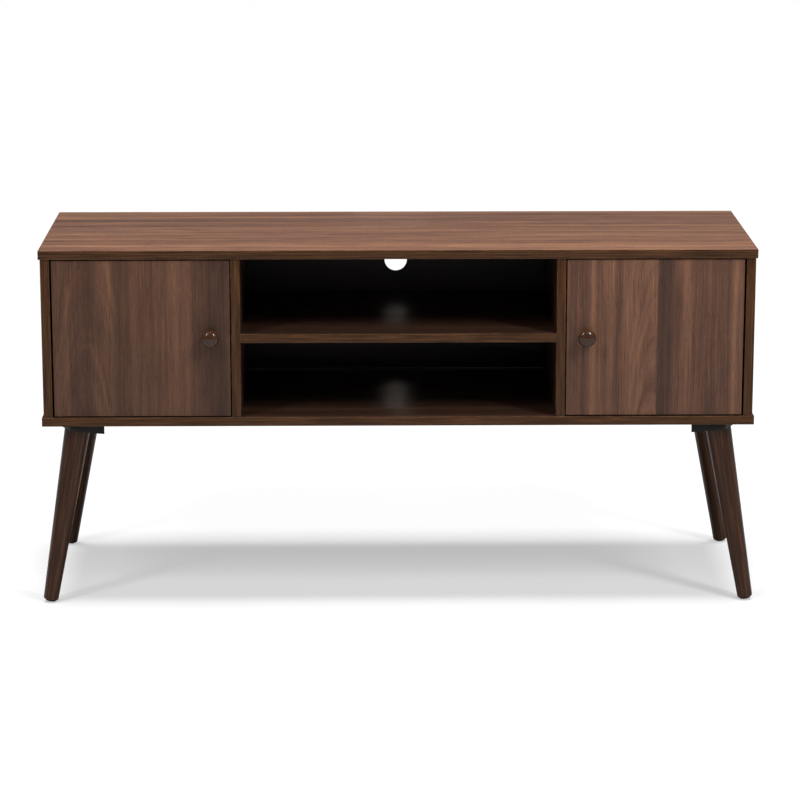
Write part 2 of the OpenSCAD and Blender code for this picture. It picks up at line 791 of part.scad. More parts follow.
glide(-1, -1);  // front_left_glide
glide(1, -1);  // front_right_glide
glide(-1, 1);  // back_left_glide
glide(1, 1);  // back_right_glide
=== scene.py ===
# %% [markdown]
# # A TV stand in walnut laminate
# The real stand is flat-pack furniture: particle boards with a printed walnut skin, two inset doors
# on pivot pins, lacquered knobs, and four turned legs on wedge brackets. The boards, their holes and
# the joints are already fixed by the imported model, which is loaded first and never moved. All that
# follows only makes each piece look like the real one: rounded edges, turned wood, threaded and
# pressed steel, and finishes with real grain.

import math

import bmesh
import bpy
import numpy as np
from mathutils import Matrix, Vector


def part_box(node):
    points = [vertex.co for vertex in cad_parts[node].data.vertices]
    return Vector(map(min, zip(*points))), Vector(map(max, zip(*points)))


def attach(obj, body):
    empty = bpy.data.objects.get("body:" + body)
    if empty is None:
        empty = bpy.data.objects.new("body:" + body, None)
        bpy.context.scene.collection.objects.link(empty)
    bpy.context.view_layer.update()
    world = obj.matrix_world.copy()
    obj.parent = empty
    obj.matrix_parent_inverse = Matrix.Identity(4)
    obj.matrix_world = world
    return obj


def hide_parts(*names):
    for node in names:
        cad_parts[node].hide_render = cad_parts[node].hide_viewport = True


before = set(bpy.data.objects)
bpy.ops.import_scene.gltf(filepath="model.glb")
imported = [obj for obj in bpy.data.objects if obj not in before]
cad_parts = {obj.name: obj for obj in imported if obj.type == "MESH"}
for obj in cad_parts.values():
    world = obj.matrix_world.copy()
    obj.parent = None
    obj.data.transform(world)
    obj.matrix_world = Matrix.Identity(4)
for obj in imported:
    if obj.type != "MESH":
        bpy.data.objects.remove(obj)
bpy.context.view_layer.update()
scene = bpy.context.scene
mm = 0.001
X, Y, Z = 0, 1, 2

# %% [markdown]
# ## Camera
# A long lens far back keeps the boards nearly parallel, as in catalogue pictures of furniture. The
# camera stands a little left of the middle, well above the top, and looks down about 13 degrees. It
# is placed from the front edge of the top panel, so it follows the stand if the stand changes.

# %% Camera
LENS = 139.25
CAMERA_SIDE = -0.066
CAMERA_BACK = 5.0705
CAMERA_UP = 1.526
LOOK_DOWN = math.radians(13.02)
LOOK_RIGHT = math.radians(0.774)

front_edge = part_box("top_panel")[0].y
camera_data = bpy.data.cameras.new("camera")
camera_data.lens = LENS
camera_data.sensor_width = 36
camera = bpy.data.objects.new("camera", camera_data)
camera.location = (CAMERA_SIDE, front_edge - CAMERA_BACK, CAMERA_UP)
camera.rotation_euler = (math.pi / 2 - LOOK_DOWN, 0, -LOOK_RIGHT)
scene.collection.objects.link(camera)
scene.camera = camera
print("camera at", [round(c, 3) for c in camera.location])

# %% [markdown]
# ## Writing node trees as formulas
# Every finish and every repeated piece below is a tree of nodes. Written out in full, a tree takes
# four lines a node, and a simple sum is hard to read. `put` makes one node, sets it up and joins its
# inputs in one line, and `worked_out` gives its result as a `Value`. A `Value` wraps the output of a
# node, so that the sum `a + b * 2` makes the Math nodes that work it out, one for each sign. This
# makes shader trees and geometry trees alike.

# %% Node helpers
def put(tree, kind, inputs=(), **settings):
    """Adds a node; inputs maps an input's name or number to a value or to a Value."""
    node = tree.nodes.new(kind)
    for name, value in settings.items():
        setattr(node, name, value)
    for key, value in dict(inputs).items():
        socket = getattr(value, "socket", value)
        if isinstance(socket, bpy.types.NodeSocket):
            tree.links.new(socket, node.inputs[key])
        else:
            node.inputs[key].default_value = socket
    return node


def spaced(inputs):
    """Input names as the nodes write them, with spaces for underscores."""
    return {label.replace("_", " "): value for label, value in inputs.items()}


def worked_out(tree, kind, inputs=(), output=0, **settings):
    """Adds a node and gives one of its outputs as a Value."""
    return Value(tree, put(tree, kind, inputs, **settings).outputs[output])


class Value:
    """A number, vector or colour that a tree works out."""

    def __init__(self, tree, socket):
        self.tree, self.socket = tree, socket

    def maths(self, operation, *others, clamp=False):
        inputs = enumerate((self, *others))
        return worked_out(self.tree, "ShaderNodeMath", inputs, operation=operation, use_clamp=clamp)

    def __rsub__(self, other):
        return (self * -1.0) + other

    def held(self):
        """Keeps the value between 0 and 1."""
        return self.maths("ADD", 0.0, clamp=True)

    def root(self):
        return self.higher(0.0).maths("SQRT")

    def ease(self, low, high):
        """Maps low..high softly to 0..1 and holds both ends."""
        inputs = {"Value": self, "From Min": low, "From Max": high}
        return worked_out(self.tree, "ShaderNodeMapRange", inputs, interpolation_type="SMOOTHSTEP")

    def split(self):
        """The three parts of a vector."""
        return [Value(self.tree, part) for part in put(self.tree, "ShaderNodeSeparateXYZ", {0: self}).outputs]


def one_node(operation):
    """A method of Value that adds one Math node."""
    return lambda value, *others: value.maths(operation, *others)


MATHS = {"__add__": "ADD", "__radd__": "ADD", "__sub__": "SUBTRACT", "__mul__": "MULTIPLY",
         "__rmul__": "MULTIPLY", "__truediv__": "DIVIDE", "__pow__": "POWER", "__gt__": "GREATER_THAN",
         "__lt__": "LESS_THAN", "lower": "MINIMUM", "higher": "MAXIMUM", "size": "ABSOLUTE",
         "sine": "SINE", "cosine": "COSINE"}
for method, operation in MATHS.items():
    setattr(Value, method, one_node(operation))


def vector(tree, x=0.0, y=0.0, z=0.0):
    """Joins three numbers to a vector."""
    return worked_out(tree, "ShaderNodeCombineXYZ", {0: x, 1: y, 2: z})


def new_tree(name, kind, inputs, outputs):
    """A node group; gives it, its inputs as Values, and its output node. Each socket is named, with
    its type, or for a plain number what it starts at."""
    tree = bpy.data.node_groups.new(name, kind)
    for in_out, sockets in (("INPUT", inputs), ("OUTPUT", outputs)):
        for label, start in sockets.items():
            sort = start if isinstance(start, str) else "Float"
            socket = tree.interface.new_socket(label, in_out=in_out, socket_type="NodeSocket" + sort)
            if start != sort:
                socket.default_value = start
    given = tree.nodes.new("NodeGroupInput").outputs
    return tree, {label: Value(tree, given[label]) for label in inputs}, tree.nodes.new("NodeGroupOutput")


def give(tree, output, **results):
    """Joins results to the sockets of a group's output node."""
    for label, value in results.items():
        tree.links.new(value.socket, output.inputs[label])
    print(tree.name, "tree:", len(tree.nodes), "nodes")

# %% [markdown]
# ## Shader helpers
# Noise is the raw stuff of every finish here: stretched along one direction it is wood fibre, and
# left even it is dust, smears or moulded skin.

# %% Shader helpers
def noise(at, scale=1.0, detail=2.0, rough=0.5, distortion=0.0):
    """Noise between 0 and 1 at a place."""
    inputs = {"Vector": at, "Scale": scale, "Detail": detail, "Roughness": rough, "Distortion": distortion}
    return worked_out(at.tree, "ShaderNodeTexNoise", inputs, "Fac")


def stretched(grain, along, across):
    """A place scaled apart along the grain and across it, which draws its noise out."""
    return worked_out(grain.tree, "ShaderNodeVectorMath", {0: grain, 1: (along, across, across)},
                      operation="MULTIPLY")


def ramp(value, stops):
    """Colours for a value, from (position, colour) stops."""
    node = put(value.tree, "ShaderNodeValToRGB", {"Fac": value})
    elements = node.color_ramp.elements
    while len(elements) < len(stops):
        elements.new(0.5)
    for element, (position, colour) in zip(elements, stops):
        element.position = position
        element.color = (*colour, 1) if isinstance(colour, tuple) else (colour, colour, colour, 1)
    return Value(value.tree, node.outputs["Color"])


def mix(factor, first, second):
    """Mixes two colours, each a Value or three numbers."""
    first, second = (item if isinstance(item, Value) else (*item, 1) for item in (first, second))
    return worked_out(factor.tree, "ShaderNodeMix", {0: factor, 6: first, 7: second}, 2, data_type="RGBA")


def scaled(value, size):
    """A vector or colour times a number."""
    return worked_out(value.tree, "ShaderNodeVectorMath", {0: value, "Scale": size}, operation="SCALE")


def placed(tree, group, **inputs):
    """Places a node group in a material and gives its outputs as Values."""
    node = put(tree, "ShaderNodeGroup", spaced(inputs), node_tree=group)
    return {output.name: Value(tree, output) for output in node.outputs}

# %% [markdown]
# ## The walnut print
# The skin of the boards is walnut veneer printed on paper. Across the grain it changes in bands a
# finger wide, from grey brown through red brown to tan, and each band drifts a little as it runs.
# Where a log was cut near its heart, the growth rings close into long arches. Fine fibres, flecks
# and short dark pores run over everything. A picture file could hold that, but a group of nodes
# stays sharp at any distance and gives each board its own stretch of the print. The group reads
# three lengths in metres: along the grain, across it, and into the board. `Band` is the broad tone
# at that place, `Side` is how far it is from the middle of an arch, where 1 is the arch's own half
# width, and `Figure` is how strongly the finer bands show.

# %% Walnut print: bands and arches
SHADING = "ShaderNodeTree"
FAR = 9.0   # a Side that is far from any arch
ARCH_STEEPNESS = 4.1   # how fast the rings pass along the grain, against across it
ARCH_RINGS = 3.2

walnut, given, walnut_out = new_tree(
    "walnut_print", SHADING, {"Grain": "Vector", "Band": 0.5, "Side": FAR, "Figure": 1.0, "Brightness": 1.0},
    {"Color": "Color", "Pores": "Float", "Height": "Float"})
along, across, inward = given["Grain"].split()
skin = across + inward
wander = skin + noise(vector(walnut, along * 2.2, skin * 7.0), detail=1.0) * 0.012
side = given["Side"] + (noise(vector(walnut, along * 5.0, skin * 9.0), detail=2.0) - 0.5) * 0.5
arched = (1.0 - side.size()).held().ease(0.0, 0.3)
arch_way = along * ARCH_STEEPNESS + side * side * 1.1
arch_rings = noise(vector(walnut, arch_way * ARCH_RINGS, side * 0.3), detail=4.0, rough=0.62)


def streaks(per_metre, long, detail=2.0, seed=0.0):
    """Noise drawn out along the grain: streaks per metre across it, each `long` metres long."""
    at = vector(walnut, along / long, wander * per_metre, inward * per_metre + seed)
    return noise(at, detail=detail, rough=0.62)


# %% Walnut print: fibres, pores and colours
WALNUT_STOPS = [(0.24, (0.066, 0.037, 0.028)), (0.42, (0.128, 0.062, 0.041)),
                (0.58, (0.210, 0.102, 0.063)), (0.80, (0.350, 0.172, 0.088))]
PORE_BROWN = (0.024, 0.013, 0.010)

broad = streaks(36, 1.1, seed=3.0) - 0.5
narrow = streaks(120, 0.42, detail=4.0, seed=7.0) - 0.5
lines = streaks(420, 0.12, detail=3.0) - 0.5
fibre = streaks(1500, 0.025)
flecks = streaks(520, 0.021).ease(0.57, 0.72)
pores = streaks(1900, 0.012, detail=1.0).ease(0.60, 0.74)
mottle = noise(vector(walnut, along * 16.0, skin * 34.0, 1.0), detail=3.0) - 0.5
bands = broad * 0.45 + narrow * 0.42
arches = (arch_rings - 0.5) * 0.80
figure = bands + arched * (arches - bands * 0.6) + lines * 0.46
tone = given["Band"] + figure * given["Figure"] + mottle * 0.12 + (fibre - 0.5) * 0.30
wood = ramp(tone, WALNUT_STOPS)
flecked = mix((flecks * 0.36 + pores * 0.35).held(), wood, PORE_BROWN)
give(walnut, walnut_out, Color=scaled(flecked, given["Brightness"]), Pores=pores,
     Height=fibre * 0.35 - pores * 0.65)

# %% [markdown]
# ## Worn arrises, raw core, and marks of use
# The long edge between two faces of a board is called an arris. Handling rubs the print there, so it
# turns a little lighter and duller, in patches. Each board carries its lowest and highest corner as
# attributes, and the group works out the distance to the board's faces in each direction. The second
# smallest of the three tells how near an arris is, and where even the smallest is more than the
# skin's thickness the point lies in a drilled hole, which shows the raw chips of the core. A second
# group gives the smears and dust of any touched surface.

# %% Board edge group
SKIN_DEPTH = 0.7 * mm
CHIP_COLOURS = [(0.3, (0.20, 0.13, 0.075)), (0.7, (0.46, 0.34, 0.21))]

edges, given, edges_out = new_tree(
    "board_edges", SHADING, {"Place": "Vector", "Low": "Vector", "High": "Vector", "Width": 1.3 * mm},
    {"Worn": "Float", "Core": "Float", "Chips": "Color"})
gaps = [(p - low).lower(high - p).higher(0.0)
        for p, low, high in zip(given["Place"].split(), given["Low"].split(), given["High"].split())]
smallest = gaps[0].lower(gaps[1]).lower(gaps[2])
middle = gaps[0].lower(gaps[1]).higher(gaps[0].higher(gaps[1]).lower(gaps[2]))
patchy = noise(given["Place"], 55.0, 4.0, 0.65)
chips = ramp(noise(given["Place"], 420.0, 3.0, 0.7), CHIP_COLOURS)
give(edges, edges_out, Worn=(1.0 - middle / given["Width"]).held() * patchy.ease(0.35, 0.75),
     Core=smallest > SKIN_DEPTH, Chips=chips)

# %% Handling marks group
marks, given, marks_out = new_tree(
    "handling_marks", SHADING, {"Place": "Vector", "Spread": 1.0}, {"Smears": "Float", "Dust": "Float"})
place = scaled(given["Place"], given["Spread"])
give(marks, marks_out, Smears=noise(place, 7.0, 5.0, 0.6, 0.6).ease(0.38, 0.68),
     Dust=noise(place, 900.0).ease(0.62, 0.78))

# %% [markdown]
# ## Laminate finishes
# The print lies under a hard satin film, embossed with the pores. So the colour comes from the
# print, the bump from its fibres and pores, and the gloss is satin, duller in the pores and where
# hands have rubbed. The edges of a board are covered with a separate strip, printed browner and
# plainer than the faces. The doors and the top have broad bands of their own, given as a
# strip of tones across the board, because their figure is what the eye knows the stand by.

# %% Laminate materials
EDGING = [(0.30, (0.022, 0.0085, 0.0030)), (0.50, (0.072, 0.0300, 0.0115)), (0.70, (0.150, 0.0650, 0.0260))]
EDGING_DUST = (0.02, 0.012, 0.008)
RUBBED = (0.30, 0.19, 0.12)


def new_material(name):
    """An empty node material and its tree."""
    material = bpy.data.materials.new(name)
    material.use_nodes = True
    material.node_tree.nodes.clear()
    return material, material.node_tree


def finish_shader(tree, linked, **constants):
    """Adds the Principled shader: linked inputs take Values, constants are set on its own sockets."""
    shader = worked_out(tree, "ShaderNodeBsdfPrincipled", {**linked, **spaced(constants)})
    put(tree, "ShaderNodeOutputMaterial", {"Surface": shader})


def attribute(tree, name, output="Vector"):
    """A vector or a number that a mesh carries."""
    return worked_out(tree, "ShaderNodeAttribute", (), output, attribute_name=name)


def object_place(tree):
    """The place on the stand, in metres."""
    return worked_out(tree, "ShaderNodeTexCoord", (), "Object")


def bump(height, depth, strength=1.0):
    """Turns a height into a surface normal; depth is in metres."""
    inputs = {"Height": height, "Distance": depth, "Strength": strength}
    return worked_out(height.tree, "ShaderNodeBump", inputs, "Normal")


def laminate(name, gloss, figure, bands=None, arch=None):
    """Walnut print under a satin film. Places across the board go from 0 to 1: bands give the tone at
    a place, and an arch is its middle, its half width, and the place of the seam that cuts it off."""
    material, tree = new_material(name)
    grain, share = attribute(tree, "grain"), attribute(tree, "share", "Fac")
    band, side = 0.5, FAR
    if bands:
        band = ramp(share, bands.items())
    if arch:
        heart, half, seam = arch
        side = (share - heart) / half + (share > seam) * FAR
    # Brightness is the sheet's stored value, which on the boards round the bays is painted shade.
    ink = placed(tree, walnut, Grain=grain, Band=band, Side=side, Figure=figure,
                 Brightness=attribute(tree, "tone_and_painted_shade", "Fac"))
    edge = placed(tree, edges, Place=object_place(tree), Low=attribute(tree, "low"),
                  High=attribute(tree, "high"))
    mark = placed(tree, marks, Place=grain)
    along, across, inward = grain.split()
    strip = noise(vector(tree, along * 9.0, (across + inward) * 420.0), detail=4.0, rough=0.7)
    edging = mix(mark["Dust"] * 0.2, ramp(strip, EDGING), EDGING_DUST)
    faced = mix(attribute(tree, "edging", "Fac"), ink["Color"], edging)
    rubbed = mix(edge["Worn"] * 0.45, faced, RUBBED)
    rough = ink["Pores"] * 0.12 + mark["Smears"] * 0.06 + edge["Worn"] * 0.15 + gloss
    finish_shader(tree, {"Base Color": mix(edge["Core"], rubbed, edge["Chips"]),
                  "Roughness": rough + edge["Core"] * 0.4, "Normal": bump(ink["Height"], 0.06 * mm, 0.6)},
                  Specular_IOR_Level=0.18)
    return material


TOP_BANDS = {0.0: 0.5, 0.1: 0.55, 0.22: 0.47, 0.34: 0.52, 0.46: 0.48, 0.56: 0.54, 0.64: 0.45, 0.76: 0.44,
             0.86: 0.53, 1.0: 0.5}
LEFT_BANDS = {0.0: 0.46, 0.05: 0.48, 0.075: 0.56, 0.1: 0.42, 0.2: 0.4, 0.27: 0.53, 0.33: 0.56, 0.365: 0.4,
              0.42: 0.44, 0.5: 0.5, 0.62: 0.48, 0.7: 0.62, 0.76: 0.57, 0.79: 0.43, 0.9: 0.34, 1.0: 0.38}
RIGHT_BANDS = {0.0: 0.44, 0.05: 0.4, 0.11: 0.42, 0.145: 0.64, 0.17: 0.54, 0.24: 0.52, 0.28: 0.4,
               0.31: 0.46, 0.37: 0.57, 0.44: 0.5, 0.505: 0.54, 0.52: 0.32, 0.575: 0.34, 0.62: 0.43,
               0.68: 0.61, 0.73: 0.49, 0.83: 0.44, 0.9: 0.45, 0.95: 0.54, 1.0: 0.42}
top_print = laminate("laminate_top", 0.36, 1.25, TOP_BANDS)
upright_print = laminate("laminate_upright", 0.34, 0.85)
left_door_print = laminate("laminate_left_door", 0.40, 0.70, LEFT_BANDS, (0.18, 0.20, 0.37))
right_door_print = laminate("laminate_right_door", 0.40, 0.90, RIGHT_BANDS, (0.49, 0.17, 0.512))
print("laminates made")

# %% [markdown]
# ## Lacquered and bare wood
# Legs and knobs are turned from solid wood and sprayed with a dark, glossy lacquer. It is thick
# enough to close the pores, so the grain shows only as a faint change of tone under the gloss. The
# gloss is a clear coat over a duller brown. Dowels are bare beech, with its small dark flecks.

# %% Wood materials
LACQUER_BROWN = [(0.30, (0.020, 0.0066, 0.0022)), (0.50, (0.046, 0.0155, 0.0055)),
                 (0.70, (0.105, 0.0400, 0.0150))]
BEECH = [(0.35, (0.38, 0.22, 0.11)), (0.6, (0.60, 0.40, 0.23)), (0.75, (0.66, 0.46, 0.28))]


def lacquered_wood(name, depth, coat, figure):
    """Dark wood under a clear coat, given by its weight and roughness; depth is the grain's relief."""
    material, tree = new_material(name)
    grain = attribute(tree, "grain")
    streak = noise(stretched(grain, 6.0, 170.0), detail=4.0, rough=0.6)
    pore = noise(stretched(grain, 60.0, 1500.0), detail=1.0).ease(0.58, 0.72)
    mark = placed(tree, marks, Place=grain, Spread=3.0)
    brown = ramp((streak - 0.5) * figure + 0.5, LACQUER_BROWN)
    finish_shader(tree, {"Base Color": mix(pore * 0.4, brown, (0.008, 0.004, 0.003)),
                  "Roughness": mark["Smears"] * 0.10 + 0.34,
                  "Normal": bump(streak * 0.5 - pore * 0.3, depth, 0.4)},
                  Specular_IOR_Level=0.15, Coat_Weight=coat[0], Coat_Roughness=coat[1], Coat_IOR=1.42)
    return material


def bare_wood(name):
    """Unfinished beech."""
    material, tree = new_material(name)
    fleck = noise(stretched(attribute(tree, "grain"), 90.0, 700.0))
    finish_shader(tree, {"Base Color": ramp(fleck, BEECH), "Roughness": fleck * 0.2 + 0.6,
                  "Normal": bump(fleck, 0.1 * mm, 0.5)})
    return material


leg_lacquer = lacquered_wood("lacquered_leg", 0.05 * mm, (0.40, 0.24), 1.0)
knob_lacquer = lacquered_wood("lacquered_knob", 0.01 * mm, (1.0, 0.08), 0.3)
beech = bare_wood("bare_beech")
print("woods made")

# %% [markdown]
# ## Hardboard
# The back panel is thin hardboard. Its front is painted with a wood print, made near black also as
# painted shade for the unlit bays, and its back is raw: pressed brown fibres with the weave of the
# wire screen that it was pressed on. Which side a point is on comes from an attribute of the board.

# %% Hardboard
SCREEN_WAVES = 2900.0   # the weave's waves, in radians in each metre
# Near black: the front's wood print, darkened also as painted shade for the unlit bays.
PRINT_AND_PAINTED_SHADE = [(0.35, (0.010, 0.004, 0.003)), (0.7, (0.034, 0.014, 0.010))]
PULP = [(0.36, (0.070, 0.034, 0.015)), (0.50, (0.175, 0.098, 0.050)), (0.62, (0.330, 0.205, 0.118))]

hardboard, tree = new_material("hardboard")
grain = attribute(tree, "grain")
along, across, inward = grain.split()
painted = attribute(tree, "painted", "Fac")
streak = noise(vector(tree, along * 3.0, (across + inward) * 120.0), detail=4.0, rough=0.6)
fibre = noise(grain, 700.0, 5.0, 0.7, 1.2)
screen = (along * SCREEN_WAVES).sine() * (across * SCREEN_WAVES).sine()
cloud = noise(grain, 14.0, 5.0, 0.65)
pulp = ramp(fibre * 0.80 + cloud * 0.20, PULP)
finish_shader(tree, {"Base Color": mix(painted, pulp, ramp(streak, PRINT_AND_PAINTED_SHADE)),
              "Roughness": 0.85 - painted * 0.40,
              "Normal": bump(fibre * 0.5 + screen * 0.5 * (1.0 - painted), 0.12 * mm, 0.5)})
print("hardboard made")

# %% [markdown]
# ## Plastics and steels
# Moulded plastic takes the fine grained skin of its mould. Plated steel is bright with a soft,
# cloudy bluish cast and small scratches; die-cast zinc is greyer and pitted; a ferrite magnet is
# matt and nearly black. Each is the same two groups with other colours and roughness.

# %% Moulded skin and metal groups
moulded, given, moulded_out = new_tree(
    "moulded_skin", SHADING, {"Place": "Vector", "Grain Size": 1500.0}, {"Tone": "Float", "Height": "Float"})
give(moulded, moulded_out, Tone=noise(given["Place"], 35.0, 4.0, 0.6),
     Height=noise(given["Place"], given["Grain Size"], 2.0))

plated, given, plated_out = new_tree(
    "metal_skin", SHADING, {"Place": "Vector", "Scratches": 1.0}, {"Cloud": "Float", "Scratch": "Float"})
scratch = noise(stretched(given["Place"], 160.0, 2600.0)).ease(0.60, 0.70)
give(plated, plated_out, Cloud=noise(given["Place"], 140.0, 3.0, 0.6), Scratch=scratch * given["Scratches"])


PALE_DUST = (0.25, 0.24, 0.22)


def plastic(name, dark, light, rough):
    """Moulded plastic between two tones, with fine dust in its skin."""
    material, tree = new_material(name)
    place = object_place(tree)
    skin_out = placed(tree, moulded, Place=place)
    mark = placed(tree, marks, Place=place, Spread=2.0)
    colour = ramp(skin_out["Tone"], [(0.35, dark), (0.7, light)])
    finish_shader(tree, {"Base Color": mix(mark["Dust"] * 0.12, colour, PALE_DUST),
                  "Roughness": skin_out["Tone"] * 0.1 + mark["Smears"] * 0.08 + rough,
                  "Normal": bump(skin_out["Height"], 0.05 * mm, 0.5)}, Specular_IOR_Level=0.25)
    return material


def metal(name, dark, light, rough, scratches, metallic=1.0):
    """Plated, cast or painted metal between two tones, with scratches."""
    material, tree = new_material(name)
    skin_out = placed(tree, plated, Place=object_place(tree), Scratches=scratches)
    cloud, scratch = skin_out["Cloud"], skin_out["Scratch"]
    finish_shader(tree, {"Base Color": ramp(cloud, [(0.3, dark), (0.7, light)]),
                  "Roughness": cloud * 0.15 + scratch * 0.2 + rough,
                  "Normal": bump(cloud - scratch * 0.4, 0.03 * mm, 0.5)}, Metallic=metallic)
    return material


black_plastic = plastic("black_plastic", (0.007, 0.006, 0.005), (0.014, 0.0125, 0.0115), 0.42)
catch_plastic = plastic("catch_plastic", (0.030, 0.018, 0.012), (0.050, 0.032, 0.022), 0.45)
black_nylon = plastic("black_nylon", (0.008, 0.007, 0.007), (0.018, 0.017, 0.016), 0.5)
zinc_steel = metal("zinc_plated_steel", (0.50, 0.51, 0.53), (0.70, 0.71, 0.74), 0.24, 1.0)
cast_zinc = metal("die_cast_zinc", (0.33, 0.33, 0.34), (0.50, 0.50, 0.51), 0.42, 0.5)
black_steel = metal("black_steel", (0.020, 0.020, 0.021), (0.045, 0.044, 0.043), 0.32, 0.6, 0.6)
ferrite = metal("ferrite", (0.020, 0.019, 0.018), (0.040, 0.038, 0.036), 0.70, 0.2, 0.2)
print("materials:", len(bpy.data.materials))

# %% [markdown]
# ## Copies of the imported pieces, with their edges eased
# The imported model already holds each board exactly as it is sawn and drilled, as loose triangles
# with knife-sharp edges. Real edges are never that sharp, and it is the thin highlight along them
# that makes an object look solid. So a copy is merged into a clean mesh, its flat faces are joined,
# and its edges are bevelled. On a board only the outer arrises are eased, because its holes are
# drilled last; on a moulded or pressed piece every sharp edge is.

# %% Eased copies
WELD = 1e-6
FLAT = math.radians(0.2)   # faces that turn by less are one face
SHARP = math.radians(32)   # edges that turn by more are eased, and shade as edges
AT_FACE = 1e-5   # a point this close to the box's face lies in it


def merged(node):
    """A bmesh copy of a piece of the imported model, with its points joined."""
    mesh = bmesh.new()
    mesh.from_mesh(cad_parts[node].data)
    bmesh.ops.remove_doubles(mesh, verts=mesh.verts, dist=WELD)
    return mesh


def link(name, mesh, material=None):
    """A new object at the origin, with its place in its mesh."""
    obj = bpy.data.objects.new(name, mesh)
    scene.collection.objects.link(obj)
    if material:
        mesh.materials.append(material)
    return obj


def keep(mesh, data, limit=SHARP):
    """Turns the faces of a bmesh outwards, shades it smooth up to an angle, and stores it."""
    bmesh.ops.recalc_face_normals(mesh, faces=mesh.faces)
    mesh.normal_update()
    for face in mesh.faces:
        face.smooth = True
    for edge in mesh.edges:
        edge.smooth = len(edge.link_faces) == 2 and edge.calc_face_angle(0) < limit
    mesh.to_mesh(data)
    mesh.free()


def on_body(obj, body, slot, *nodes):
    """Hangs a piece on the body that carries it and hides the imported pieces that it stands for; slot is not
    used.
    """
    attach(obj, body)
    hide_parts(*nodes)
    return obj


def eased(node, material, radius, outer_only=False, steps=2):
    """An object with the piece's own shape and rounded edges."""
    mesh = merged(node)
    bmesh.ops.dissolve_limit(mesh, angle_limit=FLAT, verts=mesh.verts, edges=mesh.edges)
    low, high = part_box(node)

    def outer(vertex):
        gaps = [min(abs(vertex.co[i] - low[i]), abs(vertex.co[i] - high[i])) for i in range(3)]
        return sum(gap < AT_FACE for gap in gaps) >= 2

    chosen = [edge for edge in mesh.edges
              if len(edge.link_faces) == 2 and edge.calc_face_angle(0) > SHARP
              and (not outer_only or all(outer(v) for v in edge.verts))]
    bmesh.ops.bevel(mesh, geom=chosen, offset=radius, segments=steps, profile=0.5, affect="EDGES",
                    clamp_overlap=True)
    data = bpy.data.meshes.new(node + "_piece")
    keep(mesh, data)
    return link(node + "_piece", data, material)

# %% [markdown]
# ## Laying the print on a board
# A printed sheet has one direction, and the strips along a board's edges are laid after it. So each
# corner of each face stores where it lies on the print, and each point stores its share of the way
# across, the brightness of its sheet, which on the boards round the bays is painted shade, and the
# board's own lowest and highest corner.

# %% Laying the grain
FACING = 0.8   # a face looks along a direction where its normal is this much along it
SPECK = 2e-5   # square metres: the facets of drilled holes are smaller, and no strip covers them


def lay_grain(obj, along, across, shift, tone_and_painted_shade):
    """Stores the attributes that the laminate reads."""
    mesh, thick = obj.data, 3 - along - across
    points = np.array([v.co for v in mesh.vertices])
    low, high = points.min(0), points.max(0)
    grain = mesh.attributes.new("grain", "FLOAT_VECTOR", "CORNER")
    edging = mesh.attributes.new("edging", "FLOAT", "FACE")
    for polygon in mesh.polygons:
        normal = [abs(n) for n in polygon.normal]
        on_end = normal[along] > FACING
        edging.data[polygon.index].value = float(normal[thick] < FACING and polygon.area > SPECK)
        order = (across, thick, along) if on_end else (along, across, thick)
        for corner in polygon.loop_indices:
            point = points[mesh.loops[corner].vertex_index]
            grain.data[corner].vector = [point[order[i]] + shift[i] for i in range(3)]
    for name, corner in (("low", low), ("high", high)):
        item = mesh.attributes.new(name, "FLOAT_VECTOR", "POINT")
        item.data.foreach_set("vector", np.tile(corner, len(points)))
    share = (points[:, across] - low[across]) / (high[across] - low[across])
    # Each point stores its sheet's brightness; on the boards round the bays it is painted shade.
    for name, values in (("share", share), ("tone_and_painted_shade", np.full(len(points), tone_and_painted_shade))):
        mesh.attributes.new(name, "FLOAT", "POINT").data.foreach_set("value", values)


ARRIS = 0.5 * mm


def board(node, body, material, slot, along, across, shift, tone_and_painted_shade=1.0):
    """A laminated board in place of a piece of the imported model."""
    obj = eased(node, material, ARRIS, outer_only=True, steps=3)
    lay_grain(obj, along, across, shift, tone_and_painted_shade)
    print(node, [round(s / mm, 1) for s in obj.dimensions], "mm,", len(obj.data.polygons), "faces")
    return on_body(obj, body, slot, node)

# %% [markdown]
# ## Cabinet and doors
# The grain of the top, the bottom and the shelf runs the long way. On the uprights and the doors it
# stands upright. Every board takes another stretch of the print, given by its shift. The last number
# scales the brightness of its sheet: the left door's is a little darker than the right one's, and
# those of the boards round the open bay are much darker, as painted shade for the unlit bays.

# %% Cabinet boards
board("top_panel", "cabinet", top_print, "laminate_top", X, Y, (0.31, 0.12, 0.0))
# The bottom panel and the shelf get dark sheets as painted shade for the unlit bays.
board("bottom_panel", "cabinet", upright_print, "laminate_top", X, Y, (2.7, 0.83, 0.0), 0.36)
board("center_shelf", "cabinet", upright_print, "laminate_upright", X, Y, (5.1, 1.37, 0.0), 0.30)
# The dividers' low last numbers are painted shade inside the bays; the side panels' are their tone.
for name, shift, tone_and_painted_shade in (("left_side_panel", 2.1, 0.9), ("right_side_panel", 3.0, 0.9),
                           ("left_divider", 3.7, 0.45), ("right_divider", 4.6, 0.3)):
    board(name, "cabinet", upright_print, "laminate_upright", Z, Y, (7.0 + shift, shift, 0.0), tone_and_painted_shade)

# %% Doors
board("left_door", "left_door", left_door_print, "laminate_door", Z, X, (11.0, 4.03, 0.0), 0.78)
board("right_door", "right_door", right_door_print, "laminate_door", Z, X, (12.6, 5.52, 0.0), 1.0)

# %% [markdown]
# ## Back panel
# The hardboard is nailed over the backs of the uprights and has two round holes for cables. Its
# edges stay nearly sharp, as it is only 3 mm thick. The face that looks into the stand is painted.

# %% Back panel
PAINTED_SIDE = -0.5   # a face whose normal has less than this along Y looks into the stand

